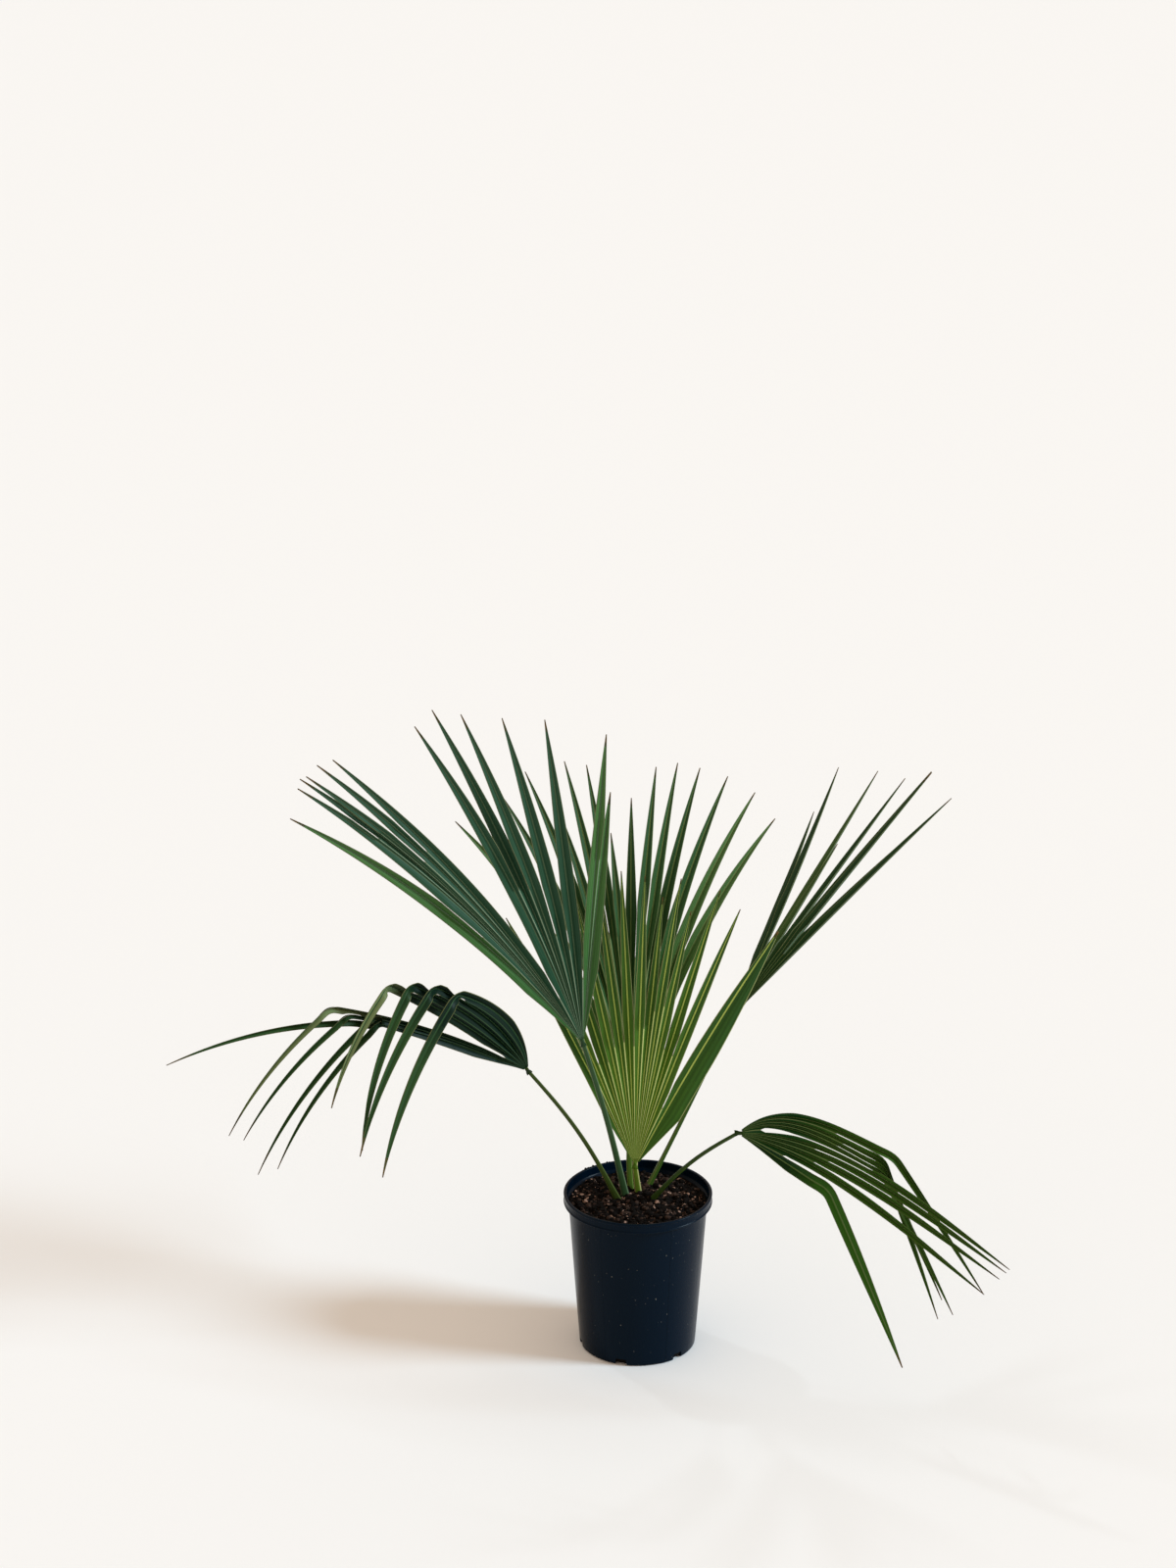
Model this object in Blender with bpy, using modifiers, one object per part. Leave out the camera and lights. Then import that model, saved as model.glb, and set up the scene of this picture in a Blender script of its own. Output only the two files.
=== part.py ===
"""Young fan palm in a round nursery pot, every piece a separate solid at its real size.

Metres, +Z up. The origin is the centre of the pot's flat underside, and the plant is seen
from -Y. A frond is a petiole and a pleated fan of leaflets. The leaflets leave the petiole's
tip at even steps, stay joined while their ribs run closer together than a leaflet's width,
and part beyond that. On the two drooping fronds each leaflet is cut where it bends.
"""
import math
from collections import namedtuple

import bmesh
import bpy
from mathutils import Matrix, Vector

OBJECT_NAME = "potted_fan_palm"
CLEARANCE = 0.0003

# Pot: turned shell, a band with a bead round its mouth, drainage notches round its foot
POT_HEIGHT = 0.240
LIP_RADIUS = 0.108
LIP_INNER_RADIUS = 0.1035
LIP_BAND = 0.0145
BEAD_RADIUS = 0.0012
BODY_TOP_RADIUS = 0.1008
BODY_FOOT_RADIUS = 0.0845
FOOT_ROUNDING = 0.004
POT_WALL = 0.0024
POT_FLOOR = 0.0030
POT_STEPS = 40
NOTCH_COUNT = 6
NOTCH_FIRST = math.radians(-107)
NOTCH_WIDTH = 0.020
NOTCH_TOP_WIDTH = 0.015
NOTCH_HEIGHT = 0.010
NOTCH_DEPTH = 0.009

# Potting mix: fills the pot to a little below its lip, heaped at the crown
MIX_EDGE_HEIGHT = 0.2245
MIX_CROWN_HEIGHT = 0.2300
MIX_RINGS = 6
MIX_STEPS = 30
MIX_LUMP = 0.0022

# Petioles: each stands in a socket in the mix and ends in a domed tip at its fan
SOCKET_DEPTH = 0.012
PETIOLE_POINTS = 9
PETIOLE_TIP_RADIUS = 0.0036
DOME_POINTS = 3

# Fans
RING_RADIUS = 0.008
THICKNESS_SHARE = 0.01
WALK_STEP = 0.003
TAPER_START = 0.45
TAPER_POWER = 1.7
TIP_WIDTH = 0.0016
PLEAT_SLOPE = 0.45
PLEAT_RUN_IN = 0.05
PARTING = 0.0010
FOLD_DELAY = 0.3
FOLD_STATIONS = 3
HANGING_PITCH = 0.06
OPENING = 0.1
SWAY = math.radians(2.0)

# faces: compass bearing and rise of the blade's upper side, in degrees
# closing: the leaflets' angle at the petiole as a share of their angle at the tip
# leaflets: angle from the blade's middle line in degrees, reach in metres
Upright = namedtuple("Upright", "name colour foot radius bow hastula faces closing width pitch leaflets")

# arch: how early the ribs turn over before the bend; fold: the length in which they fold there
# swing: how far a fold swings out to the blade's upper side; hang_bearing: the way its end falls
# spread: how far the next leaflet's bearing is turned; sag: how much steeper its tip falls
# leaflets: angle at the petiole, angle at the bend, bend, fall below level, reach
Drooping = namedtuple(
    "Drooping",
    "name colour foot radius bow hastula faces arch fold swing hang_bearing spread sag width pitch leaflets")

UPRIGHT_FRONDS = (
    Upright(
        name="left_upright", colour=(0.030, 0.085, 0.055),
        foot=(-0.0165, 0.014), radius=0.0056, bow=(0.004, 0.0, 0.0),
        hastula=(-0.0794, -0.030, 0.4892), faces=(-80, -4), closing=0.75,
        width=0.0245, pitch=0.060,
        leaflets=(
            (-47, 0.570), (-43, 0.595), (-42, 0.600), (-41, 0.600), (-39, 0.600), (-37, 0.590),
            (-25, 0.575), (-22, 0.575), (-18.5, 0.560), (-13, 0.535), (-6.5, 0.510), (3, 0.488), (5, 0.395)),
    ),
    Upright(
        name="rear", colour=(0.045, 0.120, 0.045),
        foot=(-0.0090, 0.0255), radius=0.0048, bow=(-0.004, 0.0, 0.0),
        hastula=(-0.0084, 0.060, 0.3465), faces=(-85, 18), closing=0.55,
        width=0.0225, pitch=0.060,
        leaflets=(
            (-30, 0.495), (-21, 0.492), (-16, 0.514), (-12.5, 0.455), (-9.5, 0.514), (-6, 0.503), (-3, 0.402),
            (1.5, 0.450), (5.5, 0.497), (9, 0.506), (13, 0.504), (17.5, 0.503), (23, 0.494), (28, 0.472)),
    ),
    Upright(
        name="young_centre", colour=(0.120, 0.250, 0.035),
        foot=(0.0022, 0.0205), radius=0.0058, bow=(0.0, 0.0, 0.0),
        hastula=(-0.0042, 0.020, 0.2712), faces=(-95, 3), closing=0.90,
        width=0.0195, pitch=0.055,
        leaflets=(
            (-26.5, 0.421), (-22, 0.400), (-17, 0.410), (-12, 0.425), (-7.5, 0.440), (-3, 0.452), (1.5, 0.452),
            (5, 0.415), (8, 0.451), (11, 0.405), (15.5, 0.442), (20, 0.432), (27, 0.409)),
    ),
    Upright(
        name="right_upright", colour=(0.040, 0.110, 0.045),
        foot=(0.0090, 0.0360), radius=0.0050, bow=(0.006, 0.0, -0.004),
        hastula=(0.1363, 0.090, 0.478), faces=(185, 40), closing=0.85,
        width=0.0225, pitch=0.058,
        leaflets=(
            (-52, 0.400), (-47, 0.466), (-35, 0.448), (-26, 0.300), (-17, 0.428), (-9.5, 0.457), (-3, 0.461),
            (4, 0.383), (10, 0.476)),
    ),
)

DROOPING_FRONDS = (
    Drooping(
        name="left_drooping", colour=(0.022, 0.070, 0.040),
        foot=(-0.0260, 0.0030), radius=0.0052, bow=(0.008, 0.0, 0.006),
        hastula=(-0.1575, -0.050, 0.4555), faces=(-70, -12), arch=1.0, fold=0.045, swing=1.3, hang_bearing=205,
        spread=2.0, sag=14, width=0.0195, pitch=0.03,
        leaflets=(
            (-63, -68, 0.255, 50, 0.514), (-59, -69, 0.269, 48, 0.549), (-55, -70, 0.283, 4, 0.578),
            (-51, -72, 0.304, 45, 0.552), (-47, -75, 0.336, 46, 0.584), (-42, -56, 0.280, 60, 0.495),
            (-33, -57, 0.254, 70, 0.527), (-23, -58, 0.225, 61, 0.510), (-8, -63, 0.191, 62, 0.494)),
    ),
    Drooping(
        name="right_drooping", colour=(0.050, 0.140, 0.035),
        foot=(0.0140, 0.0020), radius=0.0048, bow=(-0.004, 0.0, 0.009),
        hastula=(0.1400, -0.090, 0.3767), faces=(-125, 30), arch=2.4, fold=0.045, swing=-1.2, hang_bearing=-35,
        spread=0.0, sag=4, width=0.0195, pitch=0.035,
        leaflets=(
            (37, 99, 0.236, 49, 0.491), (46, 98, 0.216, 67, 0.486), (56, 97, 0.218, 61, 0.451),
            (66, 96, 0.220, 58, 0.469), (74, 109, 0.484, 0, 0.484), (79, 108, 0.479, 0, 0.479),
            (84, 108, 0.472, 0, 0.472), (89, 111, 0.462, 0, 0.462), (100, 105, 0.136, 62, 0.442)),
    ),
)


def clear_scene():
    for item in list(bpy.data.objects):
        bpy.data.objects.remove(item, do_unlink=True)


def new_collection(name):
    collection = bpy.data.collections.new(name)
    bpy.context.scene.collection.children.link(collection)
    return collection


def new_material(name, colour, roughness):
    material = bpy.data.materials.new(name)
    material.use_nodes = True
    shader = material.node_tree.nodes["Principled BSDF"]
    shader.inputs["Base Color"].default_value = (*colour, 1.0)
    shader.inputs["Roughness"].default_value = roughness
    shader.inputs["Metallic"].default_value = 0.0
    material.diffuse_color = (*colour, 1.0)
    return material


def new_object(name, mesh, collection, material=None):
    item = bpy.data.objects.new(name, mesh)
    collection.objects.link(item)
    if material:
        mesh.materials.append(material)
    return item


def mesh_from(bm, name):
    bmesh.ops.recalc_face_normals(bm, faces=bm.faces)
    mesh = bpy.data.meshes.new(name)
    bm.to_mesh(mesh)
    bm.free()
    return mesh


def turned(name, profile, steps, collection, material):
    """A profile of (radius, height) points turned round Z, from its top inside to its foot."""
    mesh = bpy.data.meshes.new(name)
    points = [(radius, 0.0, height) for radius, height in profile]
    mesh.from_pydata(points, [(i, i + 1) for i in range(len(points) - 1)], [])
    item = new_object(name, mesh, collection, material)
    screw = item.modifiers.new("Turned", "SCREW")
    screw.steps = steps
    screw.render_steps = steps
    screw.use_merge_vertices = True
    screw.merge_threshold = 0.00005
    return item


def add_cut(item, cutter):
    cut = item.modifiers.new(f"Cut by {cutter.name}", "BOOLEAN")
    cut.operation = "DIFFERENCE"
    cut.solver = "EXACT"
    cut.object = cutter


def as_cutter(item):
    item.hide_render = True
    item.display_type = "WIRE"


def bearing(azimuth, rise):
    """The unit vector with this compass azimuth from +X and this rise, in degrees."""
    turn = math.radians(azimuth)
    lift = math.radians(rise)
    return Vector((math.cos(turn) * math.cos(lift), math.sin(turn) * math.cos(lift), math.sin(lift)))


# Pot

def pot_profile():
    """From the middle of the inside floor, up the wall, over the lip and down to the foot."""
    inner_foot = BODY_FOOT_RADIUS - POT_WALL
    inner_top = BODY_TOP_RADIUS - POT_WALL
    band_foot = POT_HEIGHT - LIP_BAND
    points = [(0.0, POT_FLOOR), (inner_foot, POT_FLOOR), (inner_top, band_foot - POT_WALL)]
    points += [(LIP_INNER_RADIUS, band_foot + POT_WALL), (LIP_INNER_RADIUS, POT_HEIGHT - BEAD_RADIUS)]
    points += [(LIP_INNER_RADIUS + BEAD_RADIUS, POT_HEIGHT), (LIP_RADIUS - BEAD_RADIUS, POT_HEIGHT)]
    points += [(LIP_RADIUS, POT_HEIGHT - BEAD_RADIUS), (LIP_RADIUS - BEAD_RADIUS, POT_HEIGHT - 3 * BEAD_RADIUS)]
    points += [(LIP_RADIUS - BEAD_RADIUS, band_foot + 2 * BEAD_RADIUS), (LIP_RADIUS, band_foot + BEAD_RADIUS)]
    points += [(LIP_RADIUS - BEAD_RADIUS, band_foot), (BODY_TOP_RADIUS, band_foot)]
    for share in (0.0, 0.5, 1.0):
        angle = share * math.pi / 2
        points.append((BODY_FOOT_RADIUS - FOOT_ROUNDING * (1 - math.cos(angle)),
                       FOOT_ROUNDING * (1 - math.sin(angle))))
    points.append((0.0, 0.0))
    return points


def notch_cutter(index, collection):
    """A block that narrows upwards, across the pot's foot."""
    bm = bmesh.new()
    bmesh.ops.create_cube(bm, size=1.0)
    for vertex in bm.verts:
        width = NOTCH_TOP_WIDTH if vertex.co.z > 0 else NOTCH_WIDTH
        height = NOTCH_HEIGHT if vertex.co.z > 0 else -NOTCH_HEIGHT
        vertex.co = Vector((vertex.co.x * 2 * NOTCH_DEPTH, vertex.co.y * width, height))
    item = new_object(f"notch_{index + 1}", mesh_from(bm, f"notch_{index + 1}"), collection)
    turn = NOTCH_FIRST + index * math.tau / NOTCH_COUNT
    item.location = Vector((math.cos(turn), math.sin(turn), 0.0)) * BODY_FOOT_RADIUS
    item.rotation_euler = (0.0, 0.0, turn)
    as_cutter(item)
    return item


def build_pot(parts, cutters):
    material = new_material("navy plastic", (0.010, 0.018, 0.032), 0.38)
    pot = turned("pot", pot_profile(), POT_STEPS, parts, material)
    for index in range(NOTCH_COUNT):
        add_cut(pot, notch_cutter(index, cutters))


# Potting mix

def mix_height(radius, angle):
    """The heaped and lumpy top of the mix."""
    share = radius / LIP_INNER_RADIUS
    heap = MIX_EDGE_HEIGHT + (MIX_CROWN_HEIGHT - MIX_EDGE_HEIGHT) * (1 - share ** 2)
    lump = math.sin(3 * angle + 31 * radius / LIP_INNER_RADIUS) * math.cos(5 * angle - 17 * share)
    return heap + MIX_LUMP * lump * min(1.0, 2 * share)


def build_mix(parts, cutters, petioles):
    material = new_material("potting mix", (0.045, 0.030, 0.022), 0.95)
    outer = BODY_TOP_RADIUS - POT_WALL - CLEARANCE
    foot = BODY_FOOT_RADIUS - POT_WALL - CLEARANCE
    wall_height = POT_HEIGHT - LIP_BAND - POT_WALL
    bottom = POT_FLOOR + CLEARANCE
    profile = [(outer * ring / MIX_RINGS, MIX_EDGE_HEIGHT) for ring in range(MIX_RINGS + 1)]
    slope = (outer - foot) / (wall_height - POT_FLOOR)
    profile[-1] = (outer - slope * (wall_height - MIX_EDGE_HEIGHT + MIX_LUMP), MIX_EDGE_HEIGHT)
    profile += [(foot, bottom), (0.0, bottom)]
    mix = turned("potting_mix", profile, MIX_STEPS, parts, material)
    bpy.context.view_layer.update()
    graph = bpy.context.evaluated_depsgraph_get()
    mesh = bpy.data.meshes.new_from_object(mix.evaluated_get(graph))
    for vertex in mesh.vertices:
        radius = vertex.co.to_2d().length
        if vertex.co.z > MIX_EDGE_HEIGHT - CLEARANCE and radius < profile[MIX_RINGS][0] - CLEARANCE:
            vertex.co.z = mix_height(radius, math.atan2(vertex.co.y, vertex.co.x))
    mix.modifiers.clear()
    mix.data = mesh
    for frond in petioles:
        add_cut(mix, socket_cutter(frond, cutters))


# Petioles

def petiole_route(frond):
    """Points from the foot in its socket to the middle of the domed tip, bowed to one side."""
    top = Vector(frond.hastula)
    foot = Vector((*frond.foot, MIX_CROWN_HEIGHT - SOCKET_DEPTH))
    route = []
    for index in range(PETIOLE_POINTS):
        share = index / (PETIOLE_POINTS - 1)
        route.append(foot.lerp(top, share) + Vector(frond.bow) * math.sin(math.pi * share))
    return route


def petiole_radius(frond, share):
    """The limb's half thickness, stout at its foot and slim at its tip."""
    return frond.radius + (PETIOLE_TIP_RADIUS - frond.radius) * share ** 0.7


def socket_cutter(frond, collection):
    """A straight bore a hair wider than the petiole, along its first stretch."""
    route = petiole_route(frond)
    run = (route[1] - route[0]).normalized()
    start = route[0] - run * CLEARANCE
    length = 4 * SOCKET_DEPTH
    bm = bmesh.new()
    radius = frond.radius + 2 * CLEARANCE
    bmesh.ops.create_cone(bm, cap_ends=True, segments=12, radius1=radius, radius2=radius, depth=length)
    item = new_object(f"socket_{frond.name}", mesh_from(bm, f"socket_{frond.name}"), collection)
    turn = run.to_track_quat("Z", "Y").to_matrix().to_4x4()
    item.matrix_world = Matrix.Translation(start + run * length / 2) @ turn
    as_cutter(item)
    return item


def build_petiole(frond, parts):
    route = petiole_route(frond)
    last = len(route) - 1
    shape = [(point, petiole_radius(frond, index / last)) for index, point in enumerate(route)]
    run = fan_direction(frond, (ring_angle(frond, 0) + ring_angle(frond, -1)) / 2)
    dome = route[-1] + run * (RING_RADIUS - CLEARANCE - PETIOLE_TIP_RADIUS)
    for index in range(DOME_POINTS + 1):
        lift = index / (DOME_POINTS + 0.4) * math.pi / 2
        shape.append((dome + run * PETIOLE_TIP_RADIUS * math.sin(lift), PETIOLE_TIP_RADIUS * math.cos(lift)))
    curve = bpy.data.curves.new(f"petiole_{frond.name}", "CURVE")
    curve.dimensions = "3D"
    curve.bevel_depth = 1.0
    curve.bevel_resolution = 2
    curve.use_fill_caps = True
    spline = curve.splines.new("POLY")
    spline.points.add(len(shape) - 1)
    for slot, (point, radius) in zip(spline.points, shape):
        slot.co = (*point, 1.0)
        slot.radius = radius
    material = new_material(f"petiole {frond.name}", [1.3 * channel for channel in frond.colour], 0.45)
    new_object(f"petiole_{frond.name}", curve, parts, material)


# Fans

def fan_frame(frond):
    """The blade's up, side and facing directions."""
    facing = bearing(*frond.faces)
    up = (Vector((0.0, 0.0, 1.0)) - facing * facing.z).normalized()
    return up, up.cross(facing), facing


def fan_direction(frond, degrees):
    up, side, facing = fan_frame(frond)
    angle = math.radians(degrees)
    return up * math.cos(angle) + side * math.sin(angle)


def smooth(share):
    share = max(0.0, min(1.0, share))
    return share * share * (3 - 2 * share)


def ring_angle(frond, index):
    """A leaflet's angle where it leaves the petiole."""
    share = frond.closing if isinstance(frond, Upright) else 1.0
    return frond.leaflets[index][0] * share


def leaflet_reach(leaflet):
    return leaflet[-1]


def leaflet_bend(frond, leaflet):
    """The distance at which a drooping leaflet bends, or its whole reach where it doesn't."""
    return leaflet[2] if isinstance(frond, Drooping) else leaflet_reach(leaflet)


def rib_direction(frond, index, distance):
    """The way one leaflet's rib runs at a distance from the petiole's tip."""
    facing = fan_frame(frond)[2]
    if isinstance(frond, Upright):
        angle, reach = frond.leaflets[index]
        share = distance / reach
        turned_angle = angle * (frond.closing + 2 * (1 - frond.closing) * share)
        lean = math.tan(SWAY * math.sin(2.4 * index)) * smooth(2 * share)
        return (fan_direction(frond, turned_angle) + facing * lean).normalized()
    start, crest, bend, fall, reach = frond.leaflets[index]
    if distance <= bend or bend == reach:
        left = max(0.0, 1 - distance / bend)
        return fan_direction(frond, crest + (start - crest) * left ** frond.arch)
    beyond = (distance - bend) / (reach - bend)
    towards = frond.hang_bearing + frond.spread * (index - len(frond.leaflets) // 2)
    hang = bearing(towards, -(fall + frond.sag * (beyond - 0.5)))
    turn = min(1.0, (distance - bend) / frond.fold)
    before = fan_direction(frond, crest)
    run = before.slerp(hang, smooth((turn - FOLD_DELAY) / (1 - FOLD_DELAY)))
    swing = frond.swing * before.angle(hang) / (math.pi / 2)
    return (run + facing * swing * math.sin(math.pi * turn)).normalized()


def walk_rib(frond, index, distances):
    """Rib points and blade normals of one leaflet at the given rising distances."""
    point = Vector(frond.hastula)
    facing = fan_frame(frond)[2]
    travelled = 0.0
    found = []
    for distance in distances:
        while travelled < distance - 1e-9:
            step = min(WALK_STEP, distance - travelled)
            run = rib_direction(frond, index, travelled + step / 2)
            point = point + run * step
            travelled += step
        run = rib_direction(frond, index, distance)
        found.append((point.copy(), run, (facing - run * facing.dot(run)).normalized()))
    return found


def half_width(frond, leaflet, distance):
    """Half a free leaflet's width: even at first, then drawn out to its tip."""
    share = max(0.0, (distance / leaflet_reach(leaflet) - TAPER_START) / (1 - TAPER_START))
    return TIP_WIDTH / 2 + (frond.width - TIP_WIDTH) / 2 * (1 - share ** TAPER_POWER)


def blade_stations(frond, last):
    """Even distances that all leaflets of a frond share, and the leaflet's own end."""
    distances = [RING_RADIUS]
    while distances[-1] < last - 1.4 * frond.pitch:
        distances.append(distances[-1] + frond.pitch)
    return distances + [last]


def hanging_stations(frond, leaflet):
    """Close distances round the fold, then even ones to the tip."""
    first = leaflet_bend(frond, leaflet) + CLEARANCE / 2
    distances = [first + frond.fold * step / FOLD_STATIONS for step in range(FOLD_STATIONS + 1)]
    left = leaflet_reach(leaflet) - distances[-1]
    steps = max(1, round(left / HANGING_PITCH))
    return distances + [distances[-1] + left * (step + 1) / steps for step in range(steps)]


def pleat_depth(width, distance):
    return PLEAT_SLOPE * width * min(1.0, distance / PLEAT_RUN_IN)


def room_beside(frond, index, side, spots):
    """Half the distance from each spot to the neighbouring leaflet's rib, less the parting."""
    beside = index + side
    if not 0 <= beside < len(frond.leaflets):
        return [math.inf] * len(spots)
    steps = int(leaflet_reach(frond.leaflets[beside]) / WALK_STEP)
    route = walk_rib(frond, beside, [WALK_STEP * (step + 1) for step in range(steps)])
    return [min((spot[0] - other[0]).length for other in route) / 2 - PARTING for spot in spots]


def free_edges(frond, index, side, distances, spots):
    """A leaflet's edge where it is parted from its neighbour on one side, raised above its rib."""
    edge = []
    rooms = room_beside(frond, index, side, spots)
    for distance, (point, run, normal), room in zip(distances, spots, rooms):
        half = min(half_width(frond, frond.leaflets[index], distance), distance * OPENING, room)
        half = max(half, TIP_WIDTH / 2)
        edge.append(point + run.cross(normal) * side * half + normal * pleat_depth(half, distance))
    return edge


def build_sheet(points, normals, faces, thickness, name):
    """A closed blade from sheet points with normals: the sheet, its twin and the rim between."""
    bm = bmesh.new()
    front = [bm.verts.new(point + normal * thickness / 2) for point, normal in zip(points, normals)]
    back = [bm.verts.new(point - normal * thickness / 2) for point, normal in zip(points, normals)]
    rim = {}
    for face in faces:
        bm.faces.new([front[corner] for corner in face])
        bm.faces.new([back[corner] for corner in reversed(face)])
        for here, there in zip(face, face[1:] + face[:1]):
            if (there, here) in rim:
                del rim[(there, here)]
            else:
                rim[(here, there)] = True
    for here, there in rim:
        bm.faces.new((front[there], front[here], back[here], back[there]))
    return mesh_from(bm, name)


def natural_split(frond, first, second):
    """The count of shared stations before two neighbours' ribs are a leaflet's width apart."""
    joined = 0
    for one, other in zip(first, second):
        if (one[0] - other[0]).length > frond.width:
            break
        joined += 1
    return max(1, joined)


def build_blade(frond, parts, material):
    """The joined fan of a frond, up to the bends of its leaflets where it droops."""
    rows = []
    for index, leaflet in enumerate(frond.leaflets):
        last = leaflet_bend(frond, leaflet)
        if last < leaflet_reach(leaflet):
            last -= CLEARANCE / 2
        distances = blade_stations(frond, last)
        rows.append((leaflet, distances, walk_rib(frond, index, distances)))
    shared = []
    for index in range(len(rows) - 1):
        common = min(len(rows[index][1]), len(rows[index + 1][1])) - 1
        split = natural_split(frond, rows[index][2], rows[index + 1][2])
        shared.append(min(common, split))
    points = []
    normals = []

    def add(point, normal):
        points.append(point)
        normals.append(normal)
        return len(points) - 1

    ribs = [[add(spot[0], spot[2]) for spot in row[2]] for row in rows]
    seams = []
    for index, count in enumerate(shared):
        seam = []
        for step in range(count):
            one = rows[index][2][step]
            other = rows[index + 1][2][step]
            spacing = (one[0] - other[0]).length
            normal = (one[2] + other[2]).normalized()
            middle = (one[0] + other[0]) / 2
            seam.append(add(middle + normal * pleat_depth(spacing / 2, rows[index][1][step]), normal))
        seams.append(seam)
    faces = []
    for index, (leaflet, distances, spots) in enumerate(rows):
        edges = []
        for side, neighbour in ((-1, index - 1), (1, index)):
            seam = seams[neighbour] if 0 <= neighbour < len(seams) else []
            free = free_edges(frond, index, side, distances, spots)
            edges.append(seam + [add(free[step], spots[step][2]) for step in range(len(seam), len(spots))])
        rib = ribs[index]
        for step in range(len(rib) - 1):
            faces.append([edges[0][step], rib[step], rib[step + 1], edges[0][step + 1]])
            faces.append([rib[step], edges[1][step], edges[1][step + 1], rib[step + 1]])
    thickness = THICKNESS_SHARE * max(leaflet_bend(frond, leaflet) for leaflet in frond.leaflets)
    name = f"blade_{frond.name}"
    new_object(name, build_sheet(points, normals, faces, thickness, name), parts, material)


def build_hanging_leaflet(frond, index, parts, material):
    """One leaflet beyond its bend, a hair clear of the blade that it hangs from."""
    distances = hanging_stations(frond, frond.leaflets[index])
    spots = walk_rib(frond, index, distances)
    points = []
    normals = []
    left = free_edges(frond, index, -1, distances, spots)
    right = free_edges(frond, index, 1, distances, spots)
    for one, spot, other in zip(left, spots, right):
        points += [one, spot[0], other]
        normals += [spot[2]] * 3
    faces = []
    for step in range(len(spots) - 1):
        for side in (0, 1):
            corner = 3 * step + side
            faces.append([corner, corner + 1, corner + 4, corner + 3])
    thickness = THICKNESS_SHARE * (distances[-1] - distances[0])
    name = f"leaflet_{frond.name}_{index + 1}"
    new_object(name, build_sheet(points, normals, faces, thickness, name), parts, material)


def build_plant(parts):
    for frond in UPRIGHT_FRONDS + DROOPING_FRONDS:
        material = new_material(f"blade {frond.name}", frond.colour, 0.5)
        build_petiole(frond, parts)
        build_blade(frond, parts, material)
        for index, leaflet in enumerate(frond.leaflets):
            if leaflet_bend(frond, leaflet) < leaflet_reach(leaflet) - 0.06:
                build_hanging_leaflet(frond, index, parts, material)


clear_scene()
part_collection = new_collection(OBJECT_NAME)
cutter_collection = new_collection("cutters")
build_pot(part_collection, cutter_collection)
build_mix(part_collection, cutter_collection, UPRIGHT_FRONDS + DROOPING_FRONDS)
build_plant(part_collection)
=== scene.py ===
"""A young cabbage palmetto, a fan palm, in its round dark nursery pot.

Metres, +Z up, the origin in the middle of the pot's flat underside, seen from -Y.
"""

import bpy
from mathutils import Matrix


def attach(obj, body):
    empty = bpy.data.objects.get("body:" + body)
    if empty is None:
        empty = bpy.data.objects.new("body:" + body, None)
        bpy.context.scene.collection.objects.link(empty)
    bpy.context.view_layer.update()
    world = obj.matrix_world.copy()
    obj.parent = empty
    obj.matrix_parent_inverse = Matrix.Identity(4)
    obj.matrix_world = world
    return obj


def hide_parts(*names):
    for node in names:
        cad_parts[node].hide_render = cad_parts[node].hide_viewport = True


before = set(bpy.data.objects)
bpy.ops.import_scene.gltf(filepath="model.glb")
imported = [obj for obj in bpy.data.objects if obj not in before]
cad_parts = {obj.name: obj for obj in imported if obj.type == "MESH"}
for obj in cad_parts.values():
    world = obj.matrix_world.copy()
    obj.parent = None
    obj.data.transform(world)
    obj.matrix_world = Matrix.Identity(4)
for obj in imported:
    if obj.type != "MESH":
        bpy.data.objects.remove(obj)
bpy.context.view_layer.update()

import math
import random
from collections import namedtuple

import bpy
from mathutils import Matrix, Vector, noise


# Floor, light and camera
# The pot stands on a plain cream studio floor. A large soft lamp from the right throws its
# long shadow to the left, and a weak one from behind throws thin ones to the front. The
# camera stands 7 m off with a long lens, and looks 21.5 degrees down.

FLOOR_HALF = 18.0
FLOOR_DROP = 0.0004
FLOOR_CREAM = (0.872, 0.866, 0.873)
ROOM_LIGHT = (0.725, 0.590, 0.465)
CAMERA_PLACE = (-0.0724, -6.2964, 3.3553)
CAMERA_DOWN = 21.5
CAMERA_LENS = 110.88
CAMERA_SENSOR = 36.0

# bearing: compass way to the lamp from +X; rise: its height over the floor; both in degrees
Lamp = namedtuple("Lamp", "name bearing rise strength colour softness")
LAMPS = (
    Lamp("soft_lamp_right", -10, 28, 3.40, (0.655, 0.86, 1.0), 17),
    Lamp("soft_lamp_behind", 132, 50, 0.20, (0.80, 0.92, 1.0), 3),
)


def new_finish(name, colour, roughness, shine=0.5):
    """A material with one plain colour, and its shader for what else it needs."""
    finish = bpy.data.materials.new(name)
    finish.use_nodes = True
    shader = finish.node_tree.nodes["Principled BSDF"]
    shader.inputs["Base Color"].default_value = (*colour, 1.0)
    shader.inputs["Roughness"].default_value = roughness
    shader.inputs["Specular IOR Level"].default_value = shine
    finish.diffuse_color = (*colour, 1.0)
    return finish


def add_piece(name, points, faces, finishes, worn=None):
    """An object with a smooth mesh; worn gives each face's place in finishes."""
    mesh = bpy.data.meshes.new(name)
    mesh.from_pydata(points, [], faces)
    for finish in finishes:
        mesh.materials.append(finish)
    if worn:
        mesh.polygons.foreach_set("material_index", worn)
    mesh.polygons.foreach_set("use_smooth", [True] * len(faces))
    mesh.validate()
    piece = bpy.data.objects.new(name, mesh)
    bpy.context.scene.collection.objects.link(piece)
    return piece


def direction(bearing, rise):
    """The unit vector with this compass bearing from +X and this rise, in degrees."""
    turn = math.radians(bearing)
    lift = math.radians(rise)
    flat = math.cos(lift)
    return Vector((math.cos(turn) * flat, math.sin(turn) * flat, math.sin(lift)))


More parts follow.
